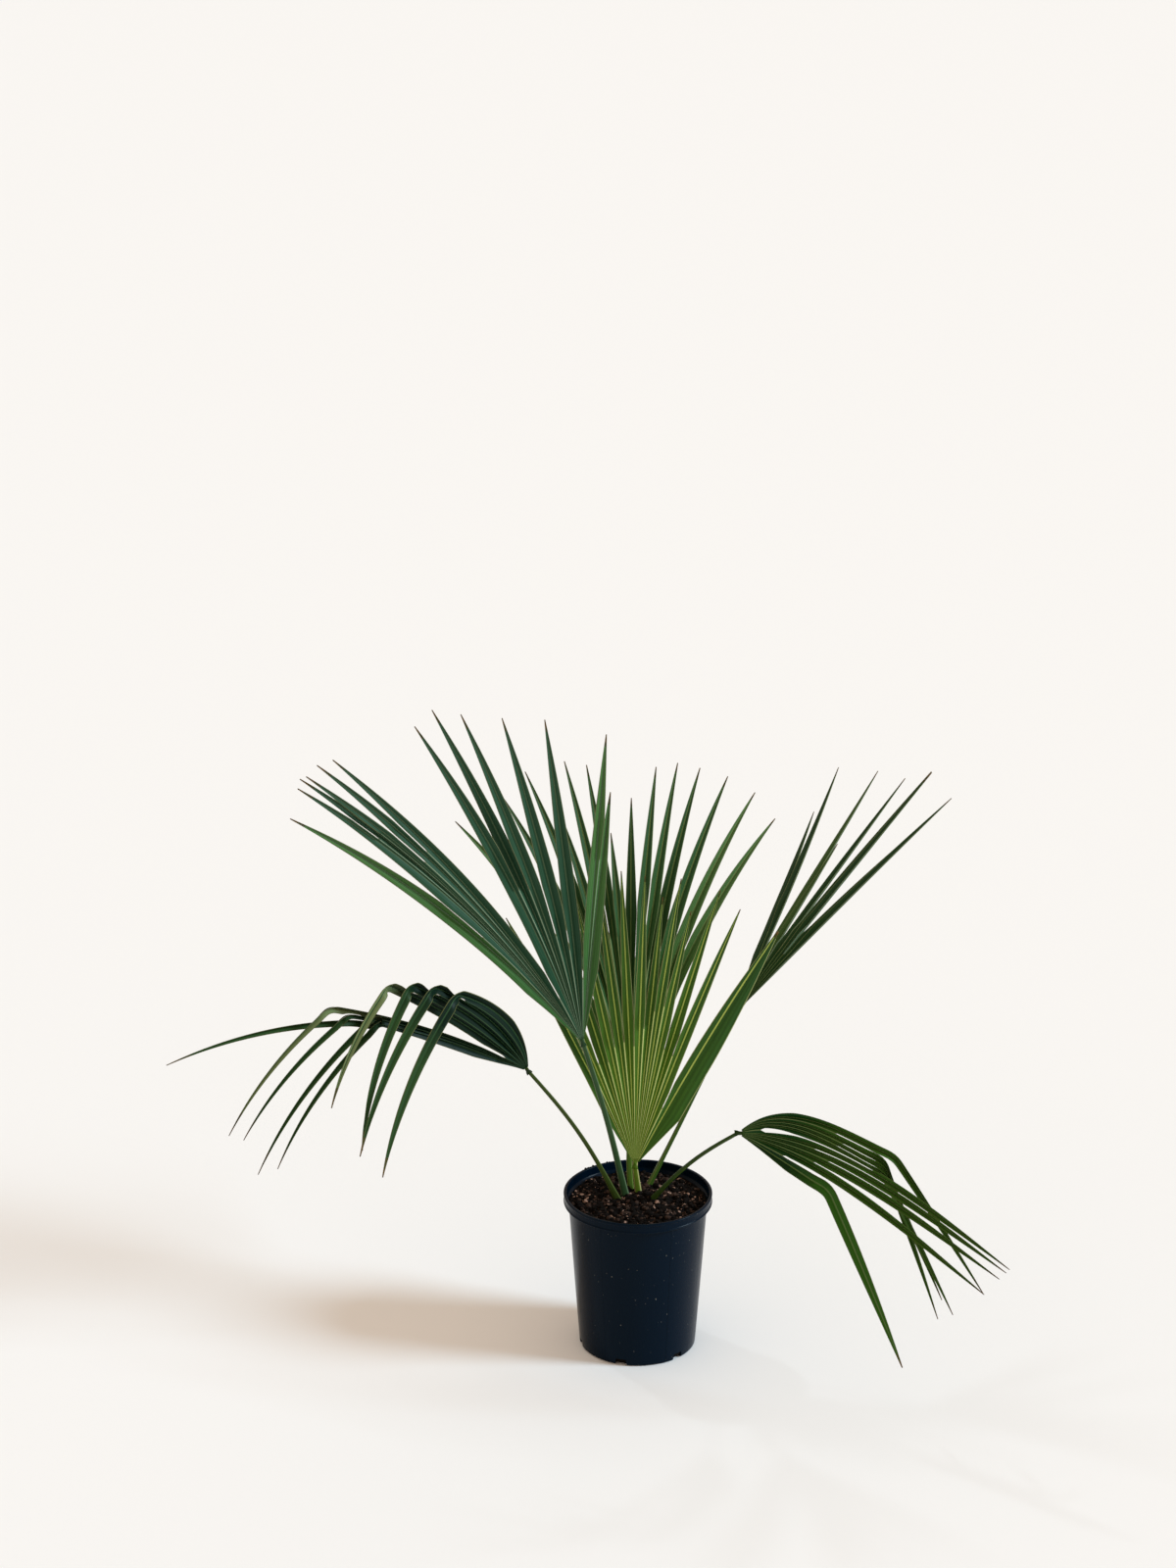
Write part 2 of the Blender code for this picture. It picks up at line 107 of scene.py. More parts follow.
def lay_floor():
    reach = FLOOR_HALF
    corners = [(-reach, -reach, -FLOOR_DROP), (reach, -reach, -FLOOR_DROP),
               (reach, reach, -FLOOR_DROP), (-reach, reach, -FLOOR_DROP)]
    add_piece("studio_floor", corners, [(0, 1, 2, 3)],
                       [new_finish("studio cream", FLOOR_CREAM, 0.9, 0.1)])


def hang_lamps():
    for lamp in LAMPS:
        data = bpy.data.lights.new(lamp.name, "SUN")
        data.energy = lamp.strength
        data.color = lamp.colour
        data.angle = math.radians(lamp.softness)
        holder = bpy.data.objects.new(lamp.name, data)
        holder.rotation_euler = direction(lamp.bearing, lamp.rise).to_track_quat("Z", "Y").to_euler()
        bpy.context.scene.collection.objects.link(holder)
    room = bpy.data.worlds.new("studio_room")
    room.use_nodes = True
    glow = room.node_tree.nodes["Background"]
    glow.inputs["Color"].default_value = (*ROOM_LIGHT, 1.0)
    glow.inputs["Strength"].default_value = 1.0
    bpy.context.scene.world = room
    bpy.context.scene.view_settings.view_transform = "Standard"


def set_camera():
    data = bpy.data.cameras.new("camera")
    data.lens = CAMERA_LENS
    data.sensor_width = CAMERA_SENSOR
    data.clip_end = 100.0
    camera = bpy.data.objects.new("camera", data)
    camera.location = CAMERA_PLACE
    camera.rotation_euler = (math.radians(90 - CAMERA_DOWN), 0.0, 0.0)
    bpy.context.scene.collection.objects.link(camera)
    bpy.context.scene.camera = camera


lay_floor()
hang_lamps()
set_camera()


# Pot
# A round nursery pot, moulded in one piece from navy-black plastic with a satin skin. A
# straight tapering wall carries a band with a rounded bead at its top and bottom edge, two
# faint mould seams run down it, and six drainage notches are left open round its foot.

POT_HEIGHT = 0.240
LIP_RADIUS = 0.108
LIP_INNER_RADIUS = 0.1035
LIP_BAND = 0.0145
BAND_SINK = 0.0011
BODY_TOP_RADIUS = 0.1008
BODY_FOOT_RADIUS = 0.0845
POT_WALL = 0.0024
POT_FLOOR = 0.0030
POT_STEPS = 216
POT_WALL_ROWS = 14
POT_WAVER = 0.00035
SEAM_BEARINGS = (-123.5, -61.5, 58.0)
SEAM_HEIGHT = 0.00035
SEAM_HALF_ANGLE = 0.28
NOTCH_COUNT = 6
NOTCH_FIRST = -107.0
NOTCH_WIDTH = 0.020
NOTCH_TOP_WIDTH = 0.015
NOTCH_HEIGHT = 0.010
NOTCH_DEPTH = 0.009
POT_NAVY = (0.0004, 0.0052, 0.0128)
POT_DUST = (0.16, 0.15, 0.13)


def rounded(corners, steps=4):
    """Corner points of (radius, height, rounding), each rounded off by a short arc."""
    path = []
    for index, (radius, height, rounding) in enumerate(corners):
        corner = Vector((radius, height))
        if rounding == 0 or index in (0, len(corners) - 1):
            path.append(tuple(corner))
            continue
        before = Vector(corners[index - 1][:2]) - corner
        after = Vector(corners[index + 1][:2]) - corner
        start = corner + before.normalized() * min(rounding, before.length / 2)
        end = corner + after.normalized() * min(rounding, after.length / 2)
        for step in range(steps + 1):
            share = step / steps
            path.append(tuple(start.lerp(corner, share).lerp(corner.lerp(end, share), share)))
    return path


def pot_profile():
    """From the middle of the inside floor, up the wall, over the band and down to the foot."""
    inner_foot = BODY_FOOT_RADIUS - POT_WALL
    inner_top = BODY_TOP_RADIUS - POT_WALL
    band_foot = POT_HEIGHT - LIP_BAND
    corners = [
        (0.0, POT_FLOOR, 0), (inner_foot, POT_FLOOR, 0.004),
        (inner_top, band_foot - POT_WALL, 0.002), (LIP_INNER_RADIUS, band_foot + POT_WALL, 0.002),
        (LIP_INNER_RADIUS, POT_HEIGHT, 0.0016), (LIP_RADIUS, POT_HEIGHT, 0.0018),
        (LIP_RADIUS, POT_HEIGHT - 0.0034, 0.0008), (LIP_RADIUS - BAND_SINK, POT_HEIGHT - 0.0044, 0.0006),
        (LIP_RADIUS - BAND_SINK, band_foot + 0.0030, 0.0006), (LIP_RADIUS, band_foot + 0.0020, 0.0008),
        (LIP_RADIUS, band_foot + 0.0002, 0.0010), (LIP_RADIUS - 0.0016, band_foot, 0.0006),
        (BODY_TOP_RADIUS, band_foot, 0.0012),
    ]
    for row in range(1, POT_WALL_ROWS):
        share = row / POT_WALL_ROWS
        corners.append((BODY_TOP_RADIUS + (BODY_FOOT_RADIUS - BODY_TOP_RADIUS) * share,
                        band_foot * (1 - share), 0))
    corners += [(BODY_FOOT_RADIUS, 0.0, 0.0034), (BODY_FOOT_RADIUS - 0.008, 0.0, 0.001),
                (BODY_FOOT_RADIUS - 0.010, 0.0012, 0.001), (0.0, 0.0012, 0)]
    return rounded(corners)


def turned_shell(name, profile, bearings, finishes, shift):
    """The profile turned round Z; shift moves each point in or out along its radius."""
    points = []
    faces = []
    count = len(bearings)
    middle = profile[1:-1]
    for radius, height in middle:
        for turn in bearings:
            out = radius + shift(radius, height, turn)
            points.append((out * math.cos(turn), out * math.sin(turn), height))
    for row in range(len(middle) - 1):
        for step in range(count):
            after = (step + 1) % count
            faces.append((row * count + step, row * count + after,
                          (row + 1) * count + after, (row + 1) * count + step))
    first = len(points)
    points += [(0.0, 0.0, profile[0][1]), (0.0, 0.0, profile[-1][1])]
    last_row = (len(middle) - 1) * count
    for step in range(count):
        after = (step + 1) % count
        faces.append((first, after, step))
        faces.append((first + 1, last_row + step, last_row + after))
    return add_piece(name, points, faces, finishes)


def pot_shift(radius, height, turn):
    """A slight waver all round, and the mould seams on the outside of the wall."""
    if radius < BODY_FOOT_RADIUS - 0.001:
        return 0.0
    waver = POT_WAVER * noise.noise(Vector((2 * math.cos(turn), 2 * math.sin(turn), 6 * height)))
    for seam in SEAM_BEARINGS:
        away = abs((math.degrees(turn) - seam + 180) % 360 - 180)
        if away < SEAM_HALF_ANGLE / 2 and height < POT_HEIGHT - LIP_BAND - 0.001:
            waver += SEAM_HEIGHT
    return waver


def notch_cutter(index):
    """A block that narrows upwards, across the pot's foot."""
    points = []
    for height, width in ((-NOTCH_HEIGHT, NOTCH_WIDTH), (NOTCH_HEIGHT, NOTCH_TOP_WIDTH)):
        for way, across in ((-1, -1), (1, -1), (1, 1), (-1, 1)):
            points.append((way * NOTCH_DEPTH, across * width / 2, height))
    faces = [(3, 2, 1, 0), (4, 5, 6, 7), (0, 1, 5, 4), (1, 2, 6, 5), (2, 3, 7, 6), (3, 0, 4, 7)]
    block = add_piece(f"notch_cutter_{index}", points, faces, [])
    turn = math.radians(NOTCH_FIRST + index * 360 / NOTCH_COUNT)
    block.data.transform(Matrix.Translation((math.cos(turn) * BODY_FOOT_RADIUS,
                                             math.sin(turn) * BODY_FOOT_RADIUS, 0.0))
                         @ Matrix.Rotation(turn, 4, "Z"))
    return block


def cut_away(piece, cutters):
    """Cuts the blocks out of the piece's mesh, and throws the blocks away."""
    for cutter in cutters:
        cut = piece.modifiers.new("cut", "BOOLEAN")
        cut.operation = "DIFFERENCE"
        cut.solver = "EXACT"
        cut.object = cutter
    graph = bpy.context.evaluated_depsgraph_get()
    mesh = bpy.data.meshes.new_from_object(piece.evaluated_get(graph))
    piece.modifiers.clear()
    piece.data = mesh
    for cutter in cutters:
        bpy.data.objects.remove(cutter, do_unlink=True)


def satin_navy_plastic():
    """Satin skin with fine grain, rubbed streaks down the wall and a few specks of dust."""
    finish = new_finish("satin navy plastic", POT_NAVY, 0.30, 0.06)
    nodes = finish.node_tree.nodes
    links = finish.node_tree.links
    shader = nodes["Principled BSDF"]
    place = nodes.new("ShaderNodeTexCoord")
    streak_space = nodes.new("ShaderNodeMapping")
    streak_space.inputs["Scale"].default_value = (170.0, 170.0, 5.0)
    links.new(place.outputs["Object"], streak_space.inputs["Vector"])
    streaks = nodes.new("ShaderNodeTexNoise")
    streaks.inputs["Scale"].default_value = 1.0
    streaks.inputs["Detail"].default_value = 4.0
    links.new(streak_space.outputs["Vector"], streaks.inputs["Vector"])
    rubbed = nodes.new("ShaderNodeMapRange")
    rubbed.inputs["From Min"].default_value = 0.35
    rubbed.inputs["From Max"].default_value = 0.75
    rubbed.inputs["To Min"].default_value = 0.20
    rubbed.inputs["To Max"].default_value = 0.38
    links.new(streaks.outputs["Fac"], rubbed.inputs["Value"])
    links.new(rubbed.outputs["Result"], shader.inputs["Roughness"])
    specks = nodes.new("ShaderNodeTexNoise")
    specks.inputs["Scale"].default_value = 330.0
    specks.inputs["Detail"].default_value = 1.0
    links.new(place.outputs["Object"], specks.inputs["Vector"])
    dusty = nodes.new("ShaderNodeMapRange")
    dusty.inputs["From Min"].default_value = 0.775
    dusty.inputs["From Max"].default_value = 0.80
    links.new(specks.outputs["Fac"], dusty.inputs["Value"])
    colour = nodes.new("ShaderNodeMix")
    colour.data_type = "RGBA"
    colour.inputs["A"].default_value = (*POT_NAVY, 1.0)
    colour.inputs["B"].default_value = (*POT_DUST, 1.0)
    links.new(dusty.outputs["Result"], colour.inputs["Factor"])
    links.new(colour.outputs["Result"], shader.inputs["Base Color"])
    grain = nodes.new("ShaderNodeTexNoise")
    grain.inputs["Scale"].default_value = 900.0
    links.new(place.outputs["Object"], grain.inputs["Vector"])
    bump = nodes.new("ShaderNodeBump")
    bump.inputs["Strength"].default_value = 0.10
    bump.inputs["Distance"].default_value = 0.0004
    links.new(grain.outputs["Fac"], bump.inputs["Height"])
    links.new(bump.outputs["Normal"], shader.inputs["Normal"])
    return finish


def mould_pot():
    degrees = [360 * step / POT_STEPS for step in range(POT_STEPS)]
    for seam in SEAM_BEARINGS:
        degrees = [value for value in degrees if abs(value - seam % 360) > SEAM_HALF_ANGLE]
        degrees += [(seam + part * SEAM_HALF_ANGLE) % 360 for part in (-1, -0.4, 0.4, 1)]
    bearings = [math.radians(value) for value in sorted(degrees)]
    pot = turned_shell("pot_shell", pot_profile(), bearings, [satin_navy_plastic()], pot_shift)
    cut_away(pot, [notch_cutter(index) for index in range(NOTCH_COUNT)])
    pot.data.set_sharp_from_angle(angle=math.radians(40))
    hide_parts("pot")
    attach(pot, "root")


mould_pot()


# Potting mix
# Loose, moist mix of black peat and crumbled bark, filled to a finger's breadth below the
# rim and heaped a little round the stalks. Crumbs of it, paler bark chips and a few white
# grains lie loose on top, and a few crumbs have stayed on the rim behind.

MIX_EDGE_HEIGHT = 0.2245
MIX_CROWN_HEIGHT = 0.2300
MIX_LUMP = 0.0022
MIX_CLOD = 0.0042
MIX_CLOD_SCALE = 80.0
CLOD_STEEPNESS = 2.2
CLOD_SHARE_BELOW = 0.6
CLOD_ROUGHNESS = 0.0006
CLOD_ROUGHNESS_SCALE = 330
CLOD_LEAST = 0.25
SETTLED_EDGE = 0.004
MIX_RINGS = 70
MIX_STEPS = 220
MIX_TOP_RADIUS = 0.0992
MIX_GAP = 0.0003
MIX_DARK = (0.0040, 0.0025, 0.0020)
RIM_CRUMB_BEARINGS = (113, 115, 128, 131, 133, 136, 139)

# flatness: height as a share of width; smallest and largest are half widths
Crumb = namedtuple("Crumb", "name colour count smallest largest flatness seed")
CRUMBS = (
    Crumb("peat_crumbs", (0.0046, 0.0030, 0.0024), 1300, 0.0016, 0.0052, 0.75, 11),
    Crumb("bark_crumbs", (0.038, 0.022, 0.016), 760, 0.0016, 0.0048, 0.65, 12),
    Crumb("bark_chips", (0.300, 0.185, 0.140), 380, 0.0013, 0.0040, 0.35, 13),
    Crumb("pale_grains", (0.55, 0.48, 0.42), 40, 0.0006, 0.0013, 0.8, 14),
)
CRUMB_MOSTLY_SMALL = 2.2
CRUMB_SHARE_ABOVE = 0.35
CRUMB_TILT = 0.7


def mix_height(radius, turn):
    """The heaped top of the mix, as in the solid, before its clods."""
    share = radius / LIP_INNER_RADIUS
    heap = MIX_EDGE_HEIGHT + (MIX_CROWN_HEIGHT - MIX_EDGE_HEIGHT) * (1 - share ** 2)
    lump = math.sin(3 * turn + 31 * share) * math.cos(5 * turn - 17 * share)
    return heap + MIX_LUMP * lump * min(1.0, 2 * share)


def clod(x, y):
    """How far a clod stands up or a hollow sinks at this place."""
    near, far = noise.voronoi(Vector((x, y, 0.0)) * MIX_CLOD_SCALE)[0][:2]
    rough = noise.noise(Vector((x, y, 0.3)) * CLOD_ROUGHNESS_SCALE)
    return MIX_CLOD * (min(1.0, CLOD_STEEPNESS * (far - near)) - CLOD_SHARE_BELOW) + CLOD_ROUGHNESS * rough


def crumbly(name, colour, spread):
    """Matt, rough stuff whose colour and height vary from crumb to crumb."""
    finish = new_finish(name, colour, 0.92, 0.08)
    nodes = finish.node_tree.nodes
    links = finish.node_tree.links
    shader = nodes["Principled BSDF"]
    place = nodes.new("ShaderNodeTexCoord")
    mottle = nodes.new("ShaderNodeTexNoise")
    mottle.inputs["Scale"].default_value = 260.0
    mottle.inputs["Detail"].default_value = 5.0
    links.new(place.outputs["Object"], mottle.inputs["Vector"])
    blend = nodes.new("ShaderNodeMix")
    blend.data_type = "RGBA"
    blend.inputs["A"].default_value = (*[channel * (1 - spread) for channel in colour], 1.0)
    blend.inputs["B"].default_value = (*[channel * (1 + spread) for channel in colour], 1.0)
    links.new(mottle.outputs["Fac"], blend.inputs["Factor"])
    links.new(blend.outputs["Result"], shader.inputs["Base Color"])
    bump = nodes.new("ShaderNodeBump")
    bump.inputs["Strength"].default_value = 0.7
    bump.inputs["Distance"].default_value = 0.001
    links.new(mottle.outputs["Fac"], bump.inputs["Height"])
    links.new(bump.outputs["Normal"], shader.inputs["Normal"])
    return finish


def heap_mix():
    inner_foot = BODY_FOOT_RADIUS - POT_WALL - MIX_GAP
    wall_top = POT_HEIGHT - LIP_BAND - POT_WALL
    outer = BODY_TOP_RADIUS - POT_WALL - MIX_GAP
    rows = [(MIX_TOP_RADIUS * ring / MIX_RINGS, None) for ring in range(MIX_RINGS + 1)]
    rows += [(outer, wall_top), (inner_foot, POT_FLOOR + MIX_GAP), (0.0, POT_FLOOR + MIX_GAP)]
    points = [(0.0, 0.0, mix_height(0.0, 0.0) + clod(0.0, 0.0))]
    for radius, height in rows[1:-1]:
        for step in range(MIX_STEPS):
            turn = math.tau * step / MIX_STEPS
            x, y = radius * math.cos(turn), radius * math.sin(turn)
            settle = min(1.0, (MIX_TOP_RADIUS - radius) / SETTLED_EDGE)
            top = mix_height(radius, turn) + clod(x, y) * max(CLOD_LEAST, settle)
            points.append((x, y, top if height is None else height))
    points.append((0.0, 0.0, rows[-1][1]))
    faces = []
    for step in range(MIX_STEPS):
        after = (step + 1) % MIX_STEPS
        faces.append((0, 1 + step, 1 + after))
        last = 1 + (len(rows) - 3) * MIX_STEPS
        faces.append((len(points) - 1, last + after, last + step))
        for row in range(len(rows) - 3):
            here, there = 1 + row * MIX_STEPS, 1 + (row + 1) * MIX_STEPS
            faces.append((here + step, there + step, there + after, here + after))
    mix = add_piece("mix_bed", points, faces, [crumbly("moist peat", MIX_DARK, 0.6)])
    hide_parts("potting_mix")
    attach(mix, "root")


def twenty_faced():
    """The corners and faces of a regular solid with twenty faces, as a crumb's first shape."""
    golden = (1 + math.sqrt(5)) / 2
    corners = []
    for one in (-1, 1):
        for other in (-golden, golden):
            corners += [(one, other, 0.0), (0.0, one, other), (other, 0.0, one)]
    corners = [Vector(corner).normalized() for corner in corners]
    side = min((corners[0] - corner).length for corner in corners[1:]) * 1.01
    faces = []
    for a in range(12):
        for b in range(a + 1, 12):
            for c in range(b + 1, 12):
                sides = (corners[a] - corners[b], corners[b] - corners[c], corners[c] - corners[a])
                if max(length.length for length in sides) < side:
                    out = (corners[b] - corners[a]).cross(corners[c] - corners[a])
                    faces.append((a, b, c) if out.dot(corners[a]) > 0 else (a, c, b))
    return corners, faces


def scatter_crumbs(crumb, shape, extra_places):
    """All crumbs of one kind, joined into one piece."""
    draw = random.Random(crumb.seed)
    corners, sides = shape
    points = []
    faces = []
    places = []
    for _ in range(crumb.count):
        radius = (MIX_TOP_RADIUS - 0.001) * math.sqrt(draw.random())
        turn = draw.uniform(0, math.tau)
        size = crumb.smallest + (crumb.largest - crumb.smallest) * draw.random() ** CRUMB_MOSTLY_SMALL
        x, y = radius * math.cos(turn), radius * math.sin(turn)
        if radius + size > MIX_TOP_RADIUS:
            continue
        lift = mix_height(radius, turn) + clod(x, y) + size * crumb.flatness * CRUMB_SHARE_ABOVE
        places.append((Vector((x, y, lift)), size))
    for place, size in places + extra_places:
        spin = Matrix.Rotation(draw.uniform(0, math.tau), 3, "Z")
        spin = spin @ Matrix.Rotation(draw.uniform(-CRUMB_TILT, CRUMB_TILT), 3, "X")
        long = draw.uniform(0.75, 1.5)
        first = len(points)
        for corner in corners:
            dent = draw.uniform(0.68, 1.15)
            local = Vector((corner.x * long, corner.y, corner.z * crumb.flatness)) * size * dent
            points.append(place + spin @ local)
        faces += [tuple(first + corner for corner in face) for face in sides]
    finish = crumbly(crumb.name.replace("_", " "), crumb.colour, 0.45)
    piece = add_piece(crumb.name, points, faces, [finish])
    piece.data.polygons.foreach_set("use_smooth", [False] * len(faces))
    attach(piece, "root")


def strew_crumbs():
    shape = twenty_faced()
    middle = (LIP_RADIUS + LIP_INNER_RADIUS) / 2
    rim = []
    for index, turn in enumerate(math.radians(value) for value in RIM_CRUMB_BEARINGS):
        size = 0.0011 + 0.0005 * (index % 3)
        place = Vector((middle * math.cos(turn), middle * math.sin(turn), POT_HEIGHT + size * 0.5))
        rim.append((place, size))
    for crumb in CRUMBS:
        scatter_crumbs(crumb, shape, rim if crumb.name == "peat_crumbs" else [])


heap_mix()
strew_crumbs()


# Fronds: their measures
# Six fronds grow from one crown. Each is a stalk and a pleated fan of leaflets. These are the
# measures that the solids are made from, but some drooping leaflets' angles, the young fan's
# last leaflet and the right-hand stalk's bow follow the photograph more closely here.

# faces: compass bearing and rise of the fan's upper side, in degrees
# closing: the leaflets' angle at the stalk as a share of their angle at the tip
# leaflets: angle from the fan's middle line in degrees, reach in metres
Upright = namedtuple("Upright", "name foot radius bow crown faces closing width leaflets")

# arch: how early the ribs turn over before the bend; fold: the length in which they fold there
# swing: how far a fold swings out to the upper side; hang_bearing: the way its end falls
# spread: how far the next leaflet's bearing is turned; sag: how much steeper its tip falls
# leaflets: angle at the stalk, angle at the bend, bend, fall below level, reach
Drooping = namedtuple(
    "Drooping", "name foot radius bow crown faces arch fold swing hang_bearing spread sag width leaflets")

FRONDS = (
    Upright(
        name="left_upright", foot=(-0.0165, 0.014), radius=0.0056, bow=(0.004, 0.0, 0.0),
        crown=(-0.0794, -0.030, 0.4892), faces=(-80, -4), closing=0.75, width=0.0245,
        leaflets=(
            (-47, 0.570), (-43, 0.595), (-42, 0.600), (-41, 0.600), (-39, 0.600), (-37, 0.590),
            (-25, 0.575), (-22, 0.575), (-18.5, 0.560), (-13, 0.535), (-6.5, 0.510), (3, 0.488),
            (5, 0.395)),
    ),
    Upright(
        name="rear", foot=(-0.0090, 0.0255), radius=0.0048, bow=(-0.004, 0.0, 0.0),
        crown=(-0.0084, 0.060, 0.3465), faces=(-85, 18), closing=0.55, width=0.0225,
        leaflets=(
            (-30, 0.495), (-21, 0.492), (-16, 0.514), (-12.5, 0.455), (-9.5, 0.514), (-6, 0.503),
            (-3, 0.402), (1.5, 0.450), (5.5, 0.497), (9, 0.506), (13, 0.504), (17.5, 0.503),
            (23, 0.494), (28, 0.472)),
    ),
    Upright(
        name="young_centre", foot=(0.0022, 0.0205), radius=0.0058, bow=(0.0, 0.0, 0.0),
        crown=(-0.0042, 0.020, 0.2712), faces=(-95, 3), closing=0.90, width=0.0195,
        leaflets=(
            (-26.5, 0.421), (-22, 0.400), (-17, 0.410), (-12, 0.425), (-7.5, 0.440), (-3, 0.452),
            (1.5, 0.452), (5, 0.415), (8, 0.451), (11, 0.405), (15.5, 0.442), (20, 0.432),
            (28.6, 0.420)),
    ),
    Upright(
        name="right_upright", foot=(0.0090, 0.0360), radius=0.0050, bow=(-0.003, 0.0, -0.010),
        crown=(0.1363, 0.090, 0.478), faces=(185, 40), closing=0.85, width=0.0225,
        leaflets=(
            (-52, 0.400), (-47, 0.466), (-35, 0.448), (-26, 0.300), (-17, 0.428), (-9.5, 0.457),
            (-3, 0.461), (4, 0.383), (10, 0.476)),
    ),
    Drooping(
        name="left_drooping", foot=(-0.0260, 0.0030), radius=0.0052, bow=(0.008, 0.0, 0.006),
        crown=(-0.1575, -0.050, 0.4555), faces=(-70, -12), arch=1.0, fold=0.045, swing=1.3,
        hang_bearing=205, spread=2.0, sag=30, width=0.0195,
        leaflets=(
            (-58, -62.5, 0.255, 53, 0.534), (-56, -63.5, 0.269, 51, 0.567), (-56, -69, 0.283, 4, 0.578),
            (-54, -69, 0.304, 45, 0.552), (-52, -70, 0.336, 46, 0.584), (-42, -56, 0.280, 60, 0.495),
            (-33, -57, 0.254, 70, 0.527), (-23, -58, 0.225, 61, 0.510), (-8, -63, 0.191, 62, 0.494)),
    ),
    Drooping(
        name="right_drooping", foot=(0.0140, 0.0020), radius=0.0048, bow=(-0.004, 0.0, 0.009),
        crown=(0.1400, -0.090, 0.3767), faces=(-125, 30), arch=2.4, fold=0.045, swing=-1.2,
        hang_bearing=-35, spread=0.0, sag=4, width=0.0195,
        leaflets=(
            (37, 99, 0.236, 49, 0.491), (42, 99.5, 0.216, 67, 0.486), (47, 101, 0.218, 61, 0.451),
            (52, 102, 0.220, 58, 0.469), (74, 109, 0.484, 0, 0.484), (79, 108, 0.479, 0, 0.479),
            (84, 108, 0.472, 0, 0.472), (89, 111, 0.462, 0, 0.462), (100, 105, 0.136, 62, 0.442)),
    ),
)


# Stalks
# A fan palm's stalk is smooth, hard and tapering, flat or a little hollow on its upper side
# with a sharp edge along each side. It stands in the mix among the crumbs, runs on up the
# back of its fan as a short keel, and ends in front in a small pointed tongue.

SOCKET_DEPTH = 0.012
STALK_TIP_RADIUS = 0.0036
STALK_STEPS = 48
STALK_SIDES = 28
STALK_HOLLOW = 0.30
STALK_FLARE = 0.22
STALK_FLARE_SHARE = 0.16
STALK_GRAIN = 0.02
STALK_GRAIN_SCALE = 90
STALK_FLUTES = 9
STALK_FLUTE_DEPTH = 0.012
EDGE_BEARING = 1.15
EDGE_RISE = 0.07
HOLLOW_HALF_ANGLE = 52
EDGE_END_ANGLE = 78
KEEL_LENGTH = 0.085
KEEL_STEPS = 14
TONGUE_LENGTH = 0.011
TONGUE_HALF_WIDTH = 0.0042
TONGUE_STEPS = 8
RING_RADIUS = 0.008

# Colours of a stalk's back, its two edges and its hollow, and how slim it is beside its solid
Stalk = namedtuple("Stalk", "body edge hollow slim")
STALKS = {
    "left_upright": Stalk((0.014, 0.040, 0.014), (0.100, 0.140, 0.075), (0.026, 0.062, 0.022), 0.92),
    "rear": Stalk((0.044, 0.090, 0.008), (0.120, 0.170, 0.030), (0.062, 0.118, 0.012), 0.95),
    "young_centre": Stalk((0.080, 0.155, 0.012), (0.360, 0.330, 0.140), (0.110, 0.195, 0.018), 1.0),
    "right_upright": Stalk((0.032, 0.072, 0.008), (0.100, 0.150, 0.028), (0.048, 0.096, 0.012), 0.82),
    "left_drooping": Stalk((0.010, 0.022, 0.004), (0.066, 0.090, 0.020), (0.028, 0.046, 0.007), 0.70),
    "right_drooping": Stalk((0.012, 0.034, 0.005), (0.046, 0.084, 0.012), (0.022, 0.052, 0.007), 0.70),
}


def fan_frame(frond):
    """The fan's up, side and facing directions."""
    facing = direction(*frond.faces)
    up = (Vector((0.0, 0.0, 1.0)) - facing * facing.z).normalized()
    return up, up.cross(facing), facing


def fan_direction(frond, degrees):
    up, side, _ = fan_frame(frond)
    angle = math.radians(degrees)
    return up * math.cos(angle) + side * math.sin(angle)


def ring_angle(frond, index):
    """A leaflet's angle where it leaves the stalk."""
    return frond.leaflets[index][0] * (frond.closing if isinstance(frond, Upright) else 1.0)


def smooth_stalk(name, colour):
    """Hard smooth skin with a light wax shine and fine lines along it."""
    finish = new_finish(name, colour, 0.40, 0.12)
    nodes = finish.node_tree.nodes
    links = finish.node_tree.links
    shader = nodes["Principled BSDF"]
    place = nodes.new("ShaderNodeTexCoord")
    stretch = nodes.new("ShaderNodeMapping")
    stretch.inputs["Scale"].default_value = (900.0, 900.0, 40.0)
    links.new(place.outputs["Object"], stretch.inputs["Vector"])
    lines = nodes.new("ShaderNodeTexNoise")
    lines.inputs["Scale"].default_value = 1.0
    lines.inputs["Detail"].default_value = 3.0
    links.new(stretch.outputs["Vector"], lines.inputs["Vector"])
    wax = nodes.new("ShaderNodeMapRange")
    wax.inputs["To Min"].default_value = 0.34
    wax.inputs["To Max"].default_value = 0.52
    links.new(lines.outputs["Fac"], wax.inputs["Value"])
    links.new(wax.outputs["Result"], shader.inputs["Roughness"])
    bump = nodes.new("ShaderNodeBump")
    bump.inputs["Strength"].default_value = 0.25
    bump.inputs["Distance"].default_value = 0.0004
    links.new(lines.outputs["Fac"], bump.inputs["Height"])
    links.new(bump.outputs["Normal"], shader.inputs["Normal"])
    return finish


